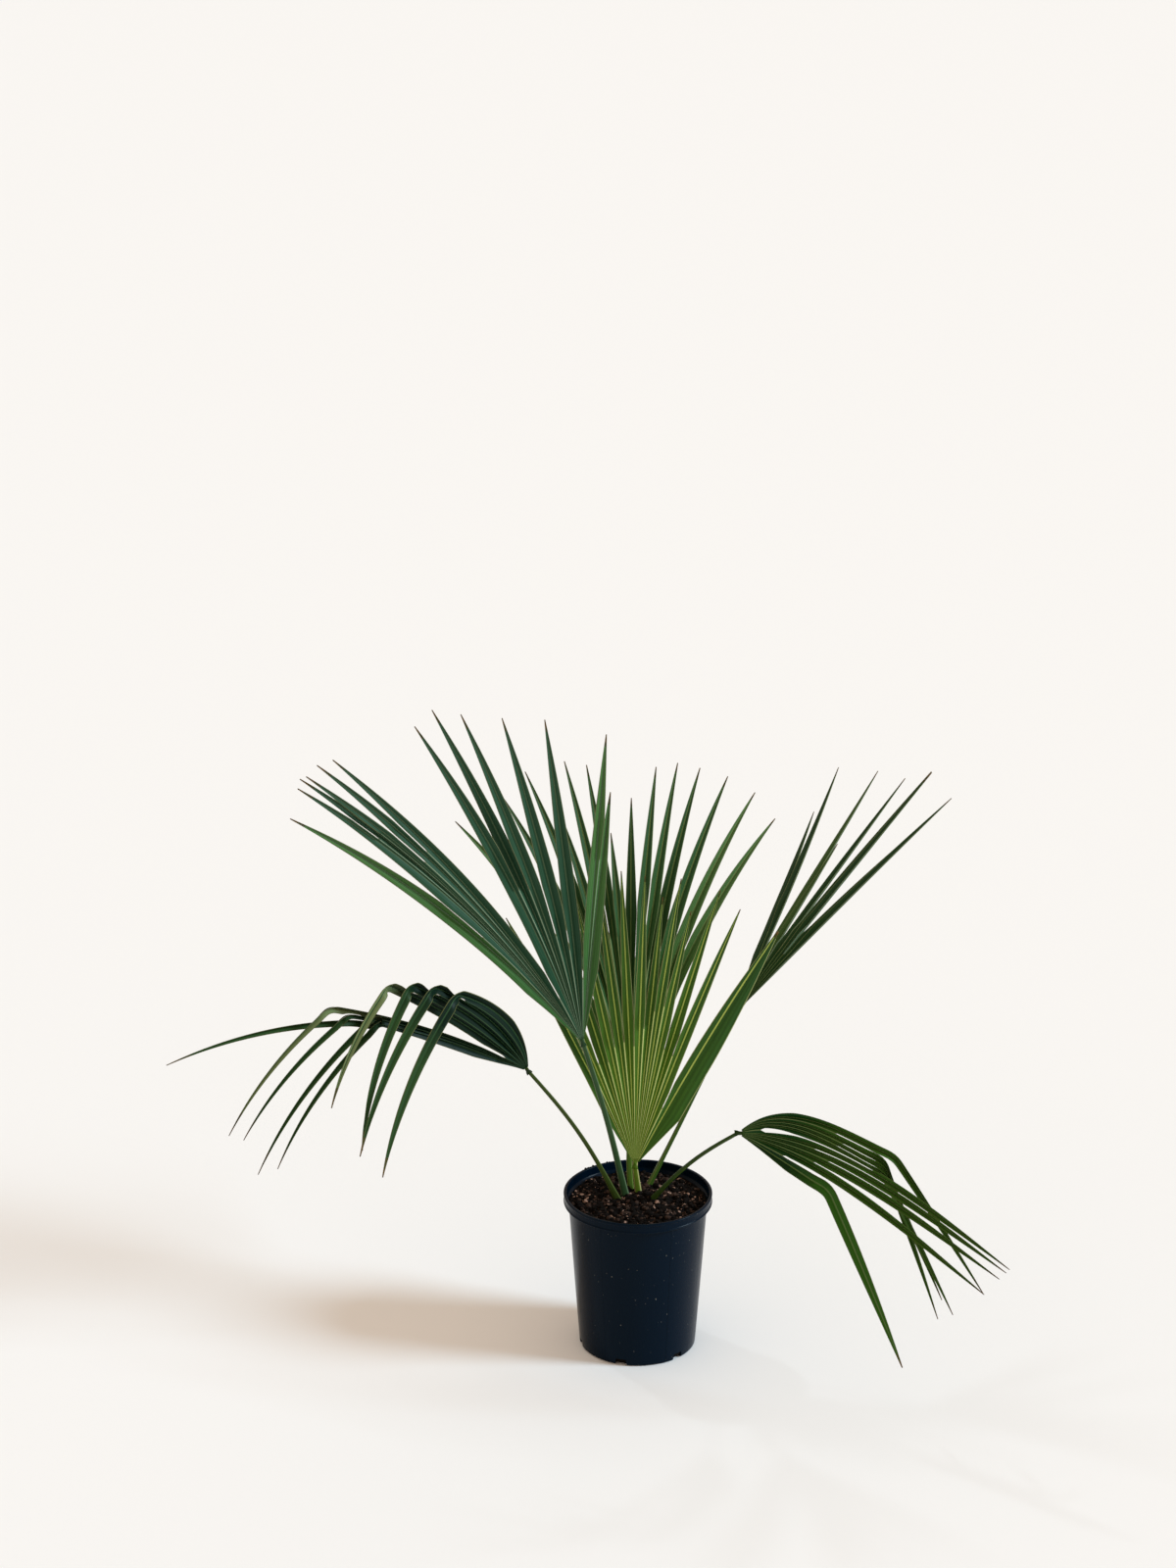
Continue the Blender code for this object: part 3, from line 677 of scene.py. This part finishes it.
def stalk_line(frond):
    """Points and half thicknesses from the socket up the bowed stalk and along the keel."""
    top = Vector(frond.crown)
    foot = Vector((*frond.foot, MIX_CROWN_HEIGHT - SOCKET_DEPTH))
    line = []
    for step in range(STALK_STEPS + 1):
        share = step / STALK_STEPS
        radius = frond.radius + (STALK_TIP_RADIUS - frond.radius) * share ** 0.7
        radius *= 1 + (STALKS[frond.name].slim - 1) * min(1.0, 4 * share)
        radius *= 1 + STALK_FLARE * max(0.0, 1 - share / STALK_FLARE_SHARE) ** 2
        line.append((foot.lerp(top, share) + Vector(frond.bow) * math.sin(math.pi * share), radius))
    facing = fan_frame(frond)[2]
    ahead = fan_direction(frond, (ring_angle(frond, 0) + ring_angle(frond, -1)) / 2)
    length = KEEL_LENGTH if isinstance(frond, Upright) else 0.4 * KEEL_LENGTH
    for step in range(1, KEEL_STEPS + 1):
        share = step / KEEL_STEPS
        radius = STALKS[frond.name].slim * STALK_TIP_RADIUS * (1 - share) ** 0.8 + 0.0003
        back = 0.0022 * math.sin(min(1.0, 4 * share) * math.pi / 2) + 0.25 * radius
        line.append((top + ahead * length * share - facing * back, radius))
    return line


def stalk_outline(angle):
    """How far out the skin lies at this angle from the hollow: hollow, two edges, fine flutes."""
    out = 1 - STALK_HOLLOW * max(0.0, math.cos(angle)) ** 3
    for edge in (EDGE_BEARING, -EDGE_BEARING):
        out += EDGE_RISE * max(0.0, math.cos(2 * (angle - edge))) ** 6
    return out * (1 + STALK_FLUTE_DEPTH * math.cos(STALK_FLUTES * angle))


def grow_stalk(frond):
    finishes = [smooth_stalk(f"{frond.name} stalk {part}", colour)
                for part, colour in zip(("back", "edge", "hollow"), STALKS[frond.name])]
    facing = fan_frame(frond)[2]
    points = []
    faces = []
    worn = []
    line = stalk_line(frond)
    for step, (point, radius) in enumerate(line):
        before = line[max(0, step - 1)][0]
        after = line[min(len(line) - 1, step + 1)][0]
        run = (after - before).normalized()
        upper = (facing - run * facing.dot(run)).normalized()
        across = run.cross(upper)
        grain = 1 + STALK_GRAIN * noise.noise(point * STALK_GRAIN_SCALE)
        for side in range(STALK_SIDES):
            angle = math.tau * side / STALK_SIDES
            way = upper * math.cos(angle) + across * math.sin(angle)
            points.append(point + way * radius * stalk_outline(angle) * grain)
    for step in range(len(line) - 1):
        for side in range(STALK_SIDES):
            after = (side + 1) % STALK_SIDES
            faces.append((step * STALK_SIDES + side, step * STALK_SIDES + after,
                          (step + 1) * STALK_SIDES + after, (step + 1) * STALK_SIDES + side))
            angle = abs((math.degrees(math.tau * (side + 0.5) / STALK_SIDES) + 180) % 360 - 180)
            worn.append(2 if angle < HOLLOW_HALF_ANGLE else 1 if angle < EDGE_END_ANGLE else 0)
    faces.append(tuple(reversed(range(STALK_SIDES))))
    faces.append(tuple(range(len(points) - STALK_SIDES, len(points))))
    worn += [0, 0]
    add_tongue(frond, points, faces, worn)
    stalk = add_piece(f"stalk_{frond.name}", points, faces, finishes, worn)
    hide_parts(f"petiole_{frond.name}")
    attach(stalk, "root")


def add_tongue(frond, points, faces, worn):
    """The little pointed flap in front of the stalk's tip, closed all round."""
    facing = fan_frame(frond)[2]
    ahead = fan_direction(frond, (ring_angle(frond, 0) + ring_angle(frond, -1)) / 2)
    across = ahead.cross(facing)
    first = len(points)
    for step in range(TONGUE_STEPS + 1):
        share = step / TONGUE_STEPS
        half = TONGUE_HALF_WIDTH * (1 - share ** 1.6) + 0.0003
        middle = Vector(frond.crown) + ahead * (TONGUE_LENGTH * share - 0.003)
        lift = STALK_TIP_RADIUS * 0.72 + 0.0022 * share ** 2
        for way in (-1, 0, 1):
            cup = 0.0011 * abs(way) * (1 - share)
            points.append(middle + across * way * half + facing * (lift + cup))
        for way in (1, 0, -1):
            points.append(middle + across * way * half + facing * (lift - 0.0010))
    for step in range(TONGUE_STEPS):
        for side in range(6):
            after = (side + 1) % 6
            row, above = first + 6 * step, first + 6 * (step + 1)
            faces.append((row + side, above + side, above + after, row + after))
            worn.append(0)
    faces.append(tuple(first + side for side in range(6)))
    faces.append(tuple(first + 6 * TONGUE_STEPS + side for side in reversed(range(6))))
    worn += [0, 0]


for frond in FRONDS:
    grow_stalk(frond)


# Fans
# A fan is one pleated leaf. Its leaflets leave the stalk's tip side by side and stay joined
# until they run apart, then each tapers to a sharp dry tip. Each is folded along its rib like
# a trough, with fine veins along it and a thin brown margin where it has torn free. On the
# two drooping fronds the leaflets fold over and hang. A pale line is painted along each raised
# crest as a painted highlight, the rib's pale line is partly its own tone and partly a painted
# highlight, and every second strip is painted lighter above and darker below as painted light
# and shade on the veins.

TAPER_START = 0.45
TAPER_POWER = 1.7
TIP_WIDTH = 0.0016
PLEAT_RUN_IN = 0.05
FREE_FOLD = {"Upright": 30.0, "Drooping": 54.0}
DEEPEST_PLEAT = {"Upright": 0.85, "Drooping": 1.50}
PARTING = 0.0005
FOLD_DELAY = 0.3
OPENING = 0.1
SWAY = 2.0
SWAY_ROOM = 3.5
WALK_STEP = 0.003
FAN_PITCH = 0.0055
LEAF_THICKNESS = 0.0006
LEAF_ARCH = 0.10
VEIN_HEIGHT = 0.014
TINT_ZONES = 6

# Half a leaflet has a narrow strip at its rib, six between, and a narrow one at its edge
STRIPS = 8
RIB_STRIP = 0.0011
EDGE_STRIP = 0.0010
RIB_SHARE_MOST = 0.17
EDGE_SHARE_MOST = 0.15
LEAST_HALF = 0.0002
# Every second strip across a leaflet is painted lighter on the upper side and darker underneath: painted
# light and shade for its fine veins
VEIN_PAINTED_LIGHT_FACTOR = 1.28
UNDER_VEIN_PAINTED_SHADE_FACTOR = 0.8
FAN_TINT_SHIFT = 0.10
STRIP_TINT_SHIFT = 0.07

# Where two neighbours part before their ribs run apart, by the first one's place in its fan
PARTED = {
    "left_drooping": {4: 0.055},
    "right_drooping": {0: 0.17, 1: 0.18, 2: 0.17, 3: 0.045, 4: 0.13, 5: 0.16, 6: 0.14, 7: 0.090},
}
PART_SHARE = {"left_upright": 0.60, "rear": 0.55, "young_centre": 0.75, "right_upright": 0.60}

# Leaflets that hang open, with how far each half is folded up, in degrees
OPEN_FOLD = {
    ("left_drooping", 5): 30.0, ("left_drooping", 6): 26.0, ("left_drooping", 7): 26.0,
    ("left_drooping", 8): 14.0, ("right_drooping", 8): 12.0, ("young_centre", 12): 12.0,
}

# The outer half of a fan's outermost leaflet where it lies open, as a multiple of its width
OPEN_EDGE = {("young_centre", 12): 2.5}

# Colours by kind of leaflet, as (at the stalk, at the tip); others is for the listed leaflets
# crest: a pale line painted along the raised crest where two joined leaflets meet, a painted highlight
# rib: the rib's pale line, partly its own paler tone and partly a painted highlight
Tint = namedtuple("Tint", "main others listed rib crest margin under tip_share")
TINTS = {
    "left_upright": Tint(
        ((0.0085, 0.0380, 0.0170), (0.0220, 0.0620, 0.0330)),
        ((0.022, 0.076, 0.017), (0.052, 0.125, 0.034)),
        (0, 11, 12), (0.075, 0.130, 0.070), (0.190, 0.260, 0.170), (0.130, 0.150, 0.075),
        (0.060, 0.120, 0.075), 0.04),
    "rear": Tint(
        ((0.030, 0.086, 0.014), (0.024, 0.066, 0.026)), ((0.048, 0.118, 0.020), (0.058, 0.122, 0.040)),
        (0, 12, 13), (0.150, 0.230, 0.080), (0.280, 0.360, 0.150), (0.160, 0.200, 0.080),
        (0.070, 0.140, 0.060), 0.03),
    "young_centre": Tint(
        ((0.060, 0.138, 0.006), (0.026, 0.080, 0.018)), ((0.036, 0.100, 0.010), (0.020, 0.064, 0.015)),
        (0, 12), (0.420, 0.530, 0.120), (0.560, 0.640, 0.230), (0.260, 0.290, 0.110),
        (0.120, 0.210, 0.050), 0.02),
    "right_upright": Tint(
        ((0.011, 0.042, 0.008), (0.012, 0.040, 0.014)), ((0.034, 0.085, 0.014), (0.038, 0.080, 0.024)),
        (2, 3), (0.070, 0.130, 0.036), (0.130, 0.190, 0.062), (0.110, 0.135, 0.045),
        (0.050, 0.100, 0.045), 0.04),
    "left_drooping": Tint(
        ((0.0018, 0.0105, 0.0052), (0.018, 0.048, 0.012)),
        ((0.0020, 0.0110, 0.0052), (0.110, 0.140, 0.055)),
        (4, 5), (0.024, 0.060, 0.022), (0.030, 0.066, 0.028), (0.100, 0.105, 0.040),
        (0.018, 0.042, 0.016), 0.06),
    "right_drooping": Tint(
        ((0.0060, 0.0390, 0.0060), (0.032, 0.086, 0.010)), ((0.0030, 0.0220, 0.0030), (0.020, 0.078, 0.003)),
        (8,), (0.090, 0.150, 0.045), (0.150, 0.210, 0.080), (0.075, 0.110, 0.024),
        (0.040, 0.085, 0.022), 0.05),
}

# How far from the stalk a drooping fan turns from its dark upper part to its paler hanging one
TURNS_PALE = {"left_drooping": 0.24, "right_drooping": 0.085}
PALE_RUN = 0.09

DRY_TIP = (0.105, 0.066, 0.020)


def smooth(share):
    share = max(0.0, min(1.0, share))
    return share * share * (3 - 2 * share)


def reach_of(leaflet):
    return leaflet[-1]


def bend_of(frond, leaflet):
    """The distance at which a drooping leaflet bends, or its whole reach where it doesn't."""
    return leaflet[2] if isinstance(frond, Drooping) else reach_of(leaflet)


def rib_direction(frond, index, distance):
    """The way one leaflet's rib runs at a distance from the stalk's tip."""
    facing = fan_frame(frond)[2]
    if isinstance(frond, Upright):
        angle, reach = frond.leaflets[index]
        share = distance / reach
        turned_angle = angle * (frond.closing + 2 * (1 - frond.closing) * share)
        beside = [other for other, _ in frond.leaflets[max(0, index - 1):index + 2] if other != angle]
        crowding = min(1.0, min(abs(other - angle) for other in beside) / SWAY_ROOM)
        lean = math.tan(math.radians(SWAY) * math.sin(2.4 * index)) * smooth(2 * share) * crowding
        return (fan_direction(frond, turned_angle) + facing * lean).normalized()
    start, crest, bend, fall, reach = frond.leaflets[index]
    if distance <= bend or bend == reach:
        left = max(0.0, 1 - distance / bend)
        return fan_direction(frond, crest + (start - crest) * left ** frond.arch)
    beyond = (distance - bend) / (reach - bend)
    towards = frond.hang_bearing + frond.spread * (index - len(frond.leaflets) // 2)
    hang = direction(towards, -(fall + frond.sag * (beyond - 0.5)))
    turn = min(1.0, (distance - bend) / frond.fold)
    before = fan_direction(frond, crest)
    run = before.slerp(hang, smooth((turn - FOLD_DELAY) / (1 - FOLD_DELAY)))
    swing = frond.swing * before.angle(hang) / (math.pi / 2)
    return (run + facing * swing * math.sin(math.pi * turn)).normalized()


def walk_rib(frond, index, distances):
    """Rib points, runs and leaf normals of one leaflet at the given rising distances."""
    point = Vector(frond.crown)
    facing = fan_frame(frond)[2]
    travelled = 0.0
    found = []
    for distance in distances:
        while travelled < distance - 1e-9:
            step = min(WALK_STEP, distance - travelled)
            point = point + rib_direction(frond, index, travelled + step / 2) * step
            travelled += step
        run = rib_direction(frond, index, distance)
        found.append((point.copy(), run, (facing - run * facing.dot(run)).normalized()))
    return found


def half_width(frond, leaflet, distance):
    """Half a free leaflet's width: even at first, then drawn out to its tip."""
    share = max(0.0, (distance / reach_of(leaflet) - TAPER_START) / (1 - TAPER_START))
    return TIP_WIDTH / 2 + (frond.width - TIP_WIDTH) / 2 * (1 - min(1.0, share) ** TAPER_POWER)


def pleat_depth(frond, flat, full, distance):
    """How far an edge stands over its rib, from the half leaflet's flat and full widths."""
    deepest = DEEPEST_PLEAT[type(frond).__name__] * flat
    return min(math.sqrt(max(0.0, full * full - flat * flat)), deepest) * min(1.0, distance / PLEAT_RUN_IN)


def stations_of(leaflet):
    """Close even distances that all leaflets of a fan share, and the leaflet's own tip."""
    distances = [RING_RADIUS]
    while distances[-1] < reach_of(leaflet) - 1.4 * FAN_PITCH:
        distances.append(distances[-1] + FAN_PITCH)
    return distances + [reach_of(leaflet)]


def joined_stations(frond, index, rows):
    """How many shared stations pass before two neighbours come apart or one bends."""
    one, other = rows[index], rows[index + 1]
    bend = min(bend_of(frond, one[0]), bend_of(frond, other[0]))
    parted = PARTED.get(frond.name, {}).get(index, math.inf)
    share = PART_SHARE.get(frond.name, 1.0)
    joined = 1
    for step in range(1, min(len(one[1]), len(other[1])) - 1):
        distance = one[1][step]
        wide = half_width(frond, one[0], distance) + half_width(frond, other[0], distance)
        apart = (one[2][step][0] - other[2][step][0]).length
        if apart > wide * share or distance > min(parted, bend - FAN_PITCH):
            break
        joined += 1
    return joined


def room_beside(routes, index, side, spots):
    """Half the distance from each spot to the neighbouring leaflet's rib, less the parting."""
    beside = index + side
    if not 0 <= beside < len(routes):
        return [math.inf] * len(spots)
    return [min((spot[0] - other).length for other in routes[beside]) / 2 - PARTING for spot in spots]


def crest_between(frond, one, other, distance):
    """The edge that two joined neighbours share, and the leaf's normal there."""
    normal = (one[2] + other[2]).normalized()
    crest = (one[0] + other[0]) / 2
    flat = (one[0] - other[0]).length / 2
    return crest + normal * pleat_depth(frond, flat, frond.width / 2, distance), normal


def free_edge(frond, index, side, distance, spot, room):
    """The edge of half a free leaflet, folded up from its rib."""
    point, run, normal = spot
    opened = OPEN_EDGE.get((frond.name, index), 1.0)
    full = half_width(frond, frond.leaflets[index], distance)
    if not 0 <= index + side < len(frond.leaflets):
        full *= opened
    full = min(full, distance * OPENING * opened)
    fold = math.radians(OPEN_FOLD.get((frond.name, index), FREE_FOLD[type(frond).__name__]))
    flat = max(min(full * math.cos(fold), room), LEAST_HALF)
    return point + run.cross(normal) * side * flat + normal * pleat_depth(frond, flat, full, distance)


def across(rib, edge, normal):
    """Points between rib and edge: slightly arched, with fine veins standing up."""
    half = (edge - rib).length
    near = min(RIB_SHARE_MOST, RIB_STRIP / half)
    far = 1 - min(EDGE_SHARE_MOST, EDGE_STRIP / half)
    found = []
    for line in range(STRIPS - 1):
        share = near + (far - near) * line / (STRIPS - 2)
        vein = VEIN_HEIGHT * (1 if line % 2 else -0.5)
        found.append(rib.lerp(edge, share) + normal * (LEAF_ARCH + vein) * math.sin(math.pi * share) * half)
    return found


def leaf_finishes(frond):
    """Each fan's finishes: zones from stalk to tip for both kinds, each with a lighter copy as painted light
    on the veins, and the rest, among them a darker underside copy as painted shade on the veins.
    """
    tint = TINTS[frond.name]
    finishes = []
    for kind, (near, far) in (("leaf", tint.main), ("second leaf", tint.others)):
        for zone in range(TINT_ZONES):
            share = zone / (TINT_ZONES - 1)
            colour = [a + (b - a) * share for a, b in zip(near, far)]
            finishes.append(leaf_skin(f"{frond.name} {kind} {zone + 1}", colour))
            # A lighter copy of each zone: painted light along the veins
            painted_vein_light = [VEIN_PAINTED_LIGHT_FACTOR * channel for channel in colour]
            finishes.append(leaf_skin(f"{frond.name} {kind} vein {zone + 1}", painted_vein_light))
    far = tint.main[1]
    fading = [(a + b) / 2 for a, b in zip(far, DRY_TIP)]
    # A darker copy of the underside: painted shade along the veins underneath
    painted_under_vein_shade = [UNDER_VEIN_PAINTED_SHADE_FACTOR * channel for channel in tint.under]
    # The crest finish is a painted highlight; the rib finish is partly the rib's own paler tone and partly a
    # painted highlight
    named = (("rib", tint.rib), ("crest", tint.crest), ("margin", tint.margin),
             ("fading tip", fading), ("dry tip", DRY_TIP),
             ("underside", tint.under), ("underside vein", painted_under_vein_shade))
    finishes += [leaf_skin(f"{frond.name} {name}", colour) for name, colour in named]
    return finishes


def leaf_skin(name, colour):
    """Waxy leaf with a soft sheen and a faint mottled bump."""
    finish = new_finish(name, colour, 0.42, 0.09)
    nodes = finish.node_tree.nodes
    links = finish.node_tree.links
    shader = nodes["Principled BSDF"]
    place = nodes.new("ShaderNodeTexCoord")
    cloud = nodes.new("ShaderNodeTexNoise")
    cloud.inputs["Scale"].default_value = 140.0
    cloud.inputs["Detail"].default_value = 4.0
    links.new(place.outputs["Object"], cloud.inputs["Vector"])
    wax = nodes.new("ShaderNodeMapRange")
    wax.inputs["To Min"].default_value = 0.38
    wax.inputs["To Max"].default_value = 0.58
    links.new(cloud.outputs["Fac"], wax.inputs["Value"])
    links.new(wax.outputs["Result"], shader.inputs["Roughness"])
    bump = nodes.new("ShaderNodeBump")
    bump.inputs["Strength"].default_value = 0.12
    bump.inputs["Distance"].default_value = 0.0003
    links.new(cloud.outputs["Fac"], bump.inputs["Height"])
    links.new(bump.outputs["Normal"], shader.inputs["Normal"])
    return finish


RIB_AND_PAINTED_HIGHLIGHT, PAINTED_CREST_HIGHLIGHT, MARGIN, FADING, DRY, UNDER, UNDERSIDE_PAINTED_VEIN_SHADE = range(4 * TINT_ZONES, 4 * TINT_ZONES + 7)


def strip_finish(frond, index, along, strip, is_free, shifts):
    """Which finish a strip of a leaflet wears on its upper side."""
    tint = TINTS[frond.name]
    if along > 1 - tint.tip_share / 2:
        return DRY
    if along > 1 - tint.tip_share:
        return FADING
    if strip == 0:
        # The strip at the rib: the rib's own paler tone, partly a painted highlight
        return RIB_AND_PAINTED_HIGHLIGHT
    if strip == STRIPS - 1:
        # Edges joined to a neighbour wear the crest colour, a painted highlight along the raised crest
        return MARGIN if is_free else PAINTED_CREST_HIGHLIGHT
    turned = TURNS_PALE.get(frond.name)
    if turned:
        along = (along * reach_of(frond.leaflets[index]) - turned) / PALE_RUN
    zone = max(0, min(TINT_ZONES - 1, int((along + shifts[strip]) * TINT_ZONES)))
    kind = 2 * TINT_ZONES if index in tint.listed else 0
    # Every second strip wears the lighter copy: painted light along the veins
    return kind + 2 * zone + strip % 2


def thicken(points, normals, faces, worn):
    """A closed leaf from its middle sheet: upper side, underside and the rim between."""
    count = len(points)
    half = LEAF_THICKNESS / 2
    shell = [point + normal * half for point, normal in zip(points, normals)]
    shell += [point - normal * half for point, normal in zip(points, normals)]
    sides = []
    wear = []
    rim = {}
    for face, (over, under) in zip(faces, worn):
        sides.append(tuple(face))
        sides.append(tuple(count + corner for corner in reversed(face)))
        wear += [over, under]
        for here, there in zip(face, face[1:] + face[:1]):
            if (there, here) in rim:
                del rim[(there, here)]
            else:
                rim[(here, there)] = over
    for (here, there), over in rim.items():
        sides.append((there, here, count + here, count + there))
        wear.append(over)
    return shell, sides, wear


def grow_fan(frond, seed):
    draw = random.Random(seed)
    rows = []
    for index, leaflet in enumerate(frond.leaflets):
        distances = stations_of(leaflet)
        rows.append((leaflet, distances, walk_rib(frond, index, distances)))
    routes = [[spot[0] for spot in row[2]] for row in rows]
    joined = [joined_stations(frond, index, rows) for index in range(len(rows) - 1)]
    points = []
    normals = []
    faces = []
    worn = []

    def add(point, normal):
        points.append(point)
        normals.append(normal)
        return len(points) - 1

    seams = []
    for index, count in enumerate(joined):
        seam = []
        for step in range(count):
            crest, normal = crest_between(
                frond, rows[index][2][step], rows[index + 1][2][step], rows[index][1][step])
            seam.append((add(crest, normal), crest))
        seams.append(seam)
    for index, (leaflet, distances, spots) in enumerate(rows):
        ribs = [add(spot[0], spot[2]) for spot in spots]
        shift = draw.uniform(-FAN_TINT_SHIFT, FAN_TINT_SHIFT)
        shifts = [shift + draw.uniform(-STRIP_TINT_SHIFT, STRIP_TINT_SHIFT) for _ in range(STRIPS)]
        for side, neighbour in ((-1, index - 1), (1, index)):
            seam = seams[neighbour] if 0 <= neighbour < len(seams) else []
            rooms = room_beside(routes, index, side, spots)
            columns = []
            for step, (point, _, normal) in enumerate(spots):
                if step < len(seam):
                    last, edge = seam[step]
                else:
                    edge = free_edge(frond, index, side, distances[step], spots[step], rooms[step])
                    last = add(edge, normal)
                inner = [add(spot, normal) for spot in across(point, edge, normal)]
                columns.append([ribs[step]] + inner + [last])
            for step in range(len(spots) - 1):
                along = (distances[step] + distances[step + 1]) / 2 / reach_of(leaflet)
                is_free = step >= len(seam) - 1
                for strip in range(STRIPS):
                    here, above = columns[step], columns[step + 1]
                    face = [here[strip], here[strip + 1], above[strip + 1], above[strip]]
                    faces.append(face if side > 0 else face[::-1])
                    over = strip_finish(frond, index, along, strip, is_free, shifts)
                    # Every second strip underneath wears the darker underside copy: painted shade along the
                    # veins
                    worn.append((over, over if over in (FADING, DRY) else UNDERSIDE_PAINTED_VEIN_SHADE if strip % 2 else UNDER))
    shell, sides, wear = thicken(points, normals, faces, worn)
    fan = add_piece(f"fan_{frond.name}", shell, sides, leaf_finishes(frond), wear)
    nodes = [f"blade_{frond.name}"] + sorted(
        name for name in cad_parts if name.startswith(f"leaflet_{frond.name}_"))
    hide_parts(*nodes)
    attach(fan, "root")


for number, frond in enumerate(FRONDS):
    grow_fan(frond, 40 + number)
